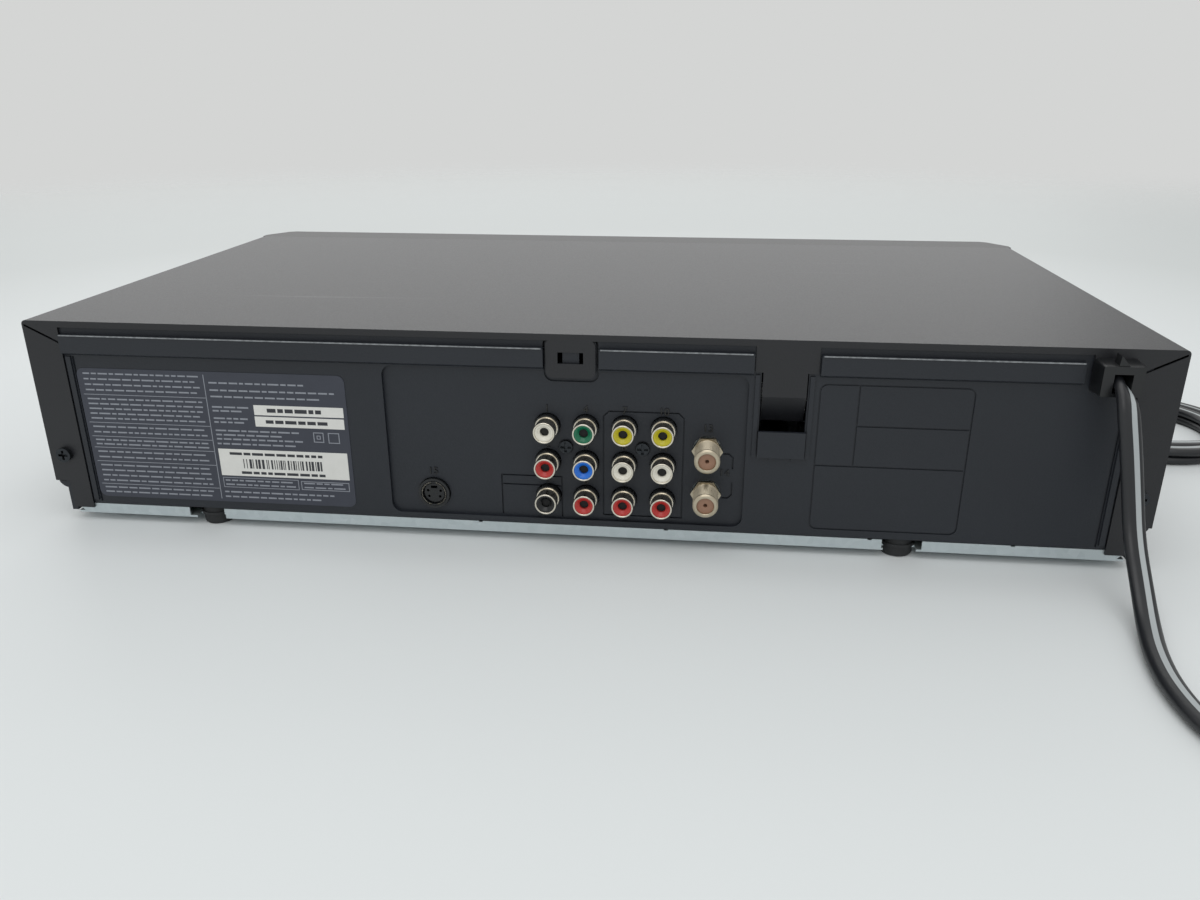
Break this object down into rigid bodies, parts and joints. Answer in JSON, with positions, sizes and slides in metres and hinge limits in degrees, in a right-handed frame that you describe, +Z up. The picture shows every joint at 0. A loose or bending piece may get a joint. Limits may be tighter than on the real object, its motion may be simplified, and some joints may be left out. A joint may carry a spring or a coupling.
{
  "type": "dvd vcr combo player",
  "caption": "Low black combination disc and cassette player with a rear jack field, sliding disc tray, cassette flap and deck, front buttons and a mains cord.",
  "frame": {"origin": "middle of the case's footprint, on the surface the feet stand on, cord left out", "axes": "+X to the right as seen from the front, +Y to the rear, +Z up; the front faces -Y and the jacks face +Y"},
  "size_m": [0.5362, 0.3761, 0.085],
  "materials": {
    "black_painted_steel": "fine textured black paint",
    "black_abs": "moulded, fine grain",
    "bezel_abs": "painted plastic, satin",
    "button_abs": "satin",
    "galvanised_steel": "zinc coated sheet",
    "nickel_plate": "nickel plated",
    "white_insert": "gloss",
    "red_insert": "gloss",
    "yellow_insert": "gloss",
    "green_insert": "gloss",
    "blue_insert": "gloss",
    "black_rubber": "matte",
    "cord_pvc": "satin black PVC",
    "dark_window": "smoked acrylic",
    "circuit_board": "solder mask",
    "machined_aluminium": "turned",
    "steel_parts": "bright",
    "white_acetal": "moulded",
    "dark_frame_plastic": "moulded"
  },
  "bodies": {
    "case": {"top_cover": "black_painted_steel", "rear_panel": "black_abs", "chassis_frame": "black_abs", "bottom_pan": "galvanised_steel", "rear_feet": "black_rubber", "front_feet": "black_rubber", "cover_screws": "black_painted_steel", "jack_screws": "black_painted_steel", "rca_block": "black_abs", "rca_sleeves": "nickel_plate", "rca_white": "white_insert", "rca_red": "red_insert", "rca_yellow": "yellow_insert", "rca_green": "green_insert", "rca_blue": "blue_insert", "rf_connectors": "nickel_plate", "tuner_box": "galvanised_steel", "svideo_jack": "black_abs", "cord_bushing": "black_rubber", "power_cord": "cord_pvc", "cord_coil": "cord_pvc", "power_plug": "cord_pvc", "front_bezel": "bezel_abs", "display_window": "dark_window", "front_board": "circuit_board", "front_jack_block": "black_abs", "deck_plate": "galvanised_steel", "carriage_rails": "galvanised_steel", "lower_drum": "machined_aluminium", "loader_frame": "dark_frame_plastic", "tray_motor": "steel_parts", "tray_belt": "black_rubber", "clamp_bridge": "galvanised_steel", "main_board": "circuit_board", "power_board": "circuit_board"},
    "tray": {"dvd_tray": "dark_frame_plastic", "tray_fascia": "bezel_abs"},
    "pinion": {"tray_pinion": "white_acetal"},
    "traverse": {"traverse_frame": "dark_frame_plastic"},
    "turntable": {"disc_turntable": "dark_frame_plastic"},
    "pickup_sled": {"pickup": "dark_frame_plastic"},
    "screw": {"lead_screw": "steel_parts"},
    "clamp": {"disc_clamp": "white_acetal"},
    "door": {"cassette_door": "bezel_abs"},
    "slider": {"cassette_slider": "galvanised_steel"},
    "basket": {"cassette_basket": "galvanised_steel"},
    "drum": {"head_drum": "machined_aluminium"},
    "capstan_shaft": {"capstan": "steel_parts"},
    "pinch": {"pinch_arm": "steel_parts"},
    "pinch_wheel": {"pinch_roller": "black_rubber"},
    "supply": {"supply_reel": "white_acetal"},
    "takeup": {"takeup_reel": "white_acetal"},
    "power_key": {"power_button": "button_abs"},
    "open_close_key": {"open_close_button": "button_abs"},
    "eject_key": {"eject_button": "button_abs"},
    "rewind_key": {"rewind_button": "button_abs"},
    "play_key": {"play_button": "button_abs"},
    "forward_key": {"forward_button": "button_abs"},
    "stop_key": {"stop_button": "button_abs"},
    "record_key": {"record_button": "button_abs"}
  },
  "joints": [
    {"name": "tray_slide", "type": "slide", "parent": "case", "child": "tray", "axis": [0, -1, 0], "range_m": [0, 0.135]},
    {"name": "pinion_spin", "type": "hinge", "parent": "case", "child": "pinion", "pos_m": [0.05, -0.098, 0.055], "axis": [0, 0, -1], "continuous": true},
    {"name": "traverse_drop", "type": "hinge", "parent": "case", "child": "traverse", "pos_m": [0.112, 0.042, 0.045], "axis": [1, 0, 0], "range_deg": [0, 3]},
    {"name": "turntable_spin", "type": "hinge", "parent": "traverse", "child": "turntable", "pos_m": [0.112, -0.05, 0.056], "axis": [0, 0, 1], "continuous": true},
    {"name": "pickup_slide", "type": "slide", "parent": "traverse", "child": "pickup_sled", "axis": [0, 1, 0], "range_m": [0, 0.035]},
    {"name": "lead_screw_spin", "type": "hinge", "parent": "traverse", "child": "screw", "pos_m": [0.086, 0, 0.0505], "axis": [0, 1, 0], "continuous": true},
    {"name": "clamp_lift", "type": "slide", "parent": "case", "child": "clamp", "axis": [0, 0, 1], "range_m": [0, 0.0015]},
    {"name": "cassette_door_swing", "type": "hinge", "parent": "case", "child": "door", "pos_m": [-0.1, -0.1212, 0.0694], "axis": [1, 0, 0], "range_deg": [0, 88], "stiffness_Nm_per_rad": 0.01},
    {"name": "cassette_draw", "type": "slide", "parent": "case", "child": "slider", "axis": [0, 1, 0], "range_m": [0, 0.03]},
    {"name": "cassette_drop", "type": "slide", "parent": "slider", "child": "basket", "axis": [0, 0, -1], "range_m": [0, 0.018]},
    {"name": "drum_spin", "type": "hinge", "parent": "case", "child": "drum", "pos_m": [-0.1, 0.045, 0.0185], "axis": [0, -0.0872, 0.9962], "continuous": true},
    {"name": "capstan_spin", "type": "hinge", "parent": "case", "child": "capstan_shaft", "pos_m": [-0.045, 0.024, 0.02], "axis": [0, 0, 1], "continuous": true},
    {"name": "pinch_arm_swing", "type": "hinge", "parent": "case", "child": "pinch", "pos_m": [-0.024, 0.05, 0.025], "axis": [0, 0, 1], "range_deg": [-30, 0]},
    {"name": "pinch_roller_spin", "type": "hinge", "parent": "pinch", "child": "pinch_wheel", "pos_m": [-0.0225, 0.0208, 0.033], "axis": [0, 0, 1], "continuous": true},
    {"name": "supply_reel_spin", "type": "hinge", "parent": "case", "child": "supply", "pos_m": [-0.146, -0.047, 0.02], "axis": [0, 0, 1], "continuous": true},
    {"name": "takeup_reel_spin", "type": "hinge", "parent": "case", "child": "takeup", "pos_m": [-0.054, -0.047, 0.02], "axis": [0, 0, 1], "continuous": true},
    {"name": "power_press", "type": "slide", "parent": "case", "child": "power_key", "axis": [0, 1, 0], "range_m": [0, 0.0008], "stiffness_N_per_m": 400},
    {"name": "open_close_press", "type": "slide", "parent": "case", "child": "open_close_key", "axis": [0, 1, 0], "range_m": [0, 0.0008], "stiffness_N_per_m": 400},
    {"name": "eject_press", "type": "slide", "parent": "case", "child": "eject_key", "axis": [0, 1, 0], "range_m": [0, 0.0008], "stiffness_N_per_m": 400},
    {"name": "rewind_press", "type": "slide", "parent": "case", "child": "rewind_key", "axis": [0, 1, 0], "range_m": [0, 0.0008], "stiffness_N_per_m": 400},
    {"name": "play_press", "type": "slide", "parent": "case", "child": "play_key", "axis": [0, 1, 0], "range_m": [0, 0.0008], "stiffness_N_per_m": 400},
    {"name": "forward_press", "type": "slide", "parent": "case", "child": "forward_key", "axis": [0, 1, 0], "range_m": [0, 0.0008], "stiffness_N_per_m": 400},
    {"name": "stop_press", "type": "slide", "parent": "case", "child": "stop_key", "axis": [0, 1, 0], "range_m": [0, 0.0008], "stiffness_N_per_m": 400},
    {"name": "record_press", "type": "slide", "parent": "case", "child": "record_key", "axis": [0, 1, 0], "range_m": [0, 0.0008], "stiffness_N_per_m": 400}
  ],
  "couplings": [
    {"joint": "pinion_spin", "follows": "tray_slide", "rad_per_m": 125},
    {"joint": "lead_screw_spin", "follows": "pickup_slide", "rad_per_m": 1496}
  ]
}
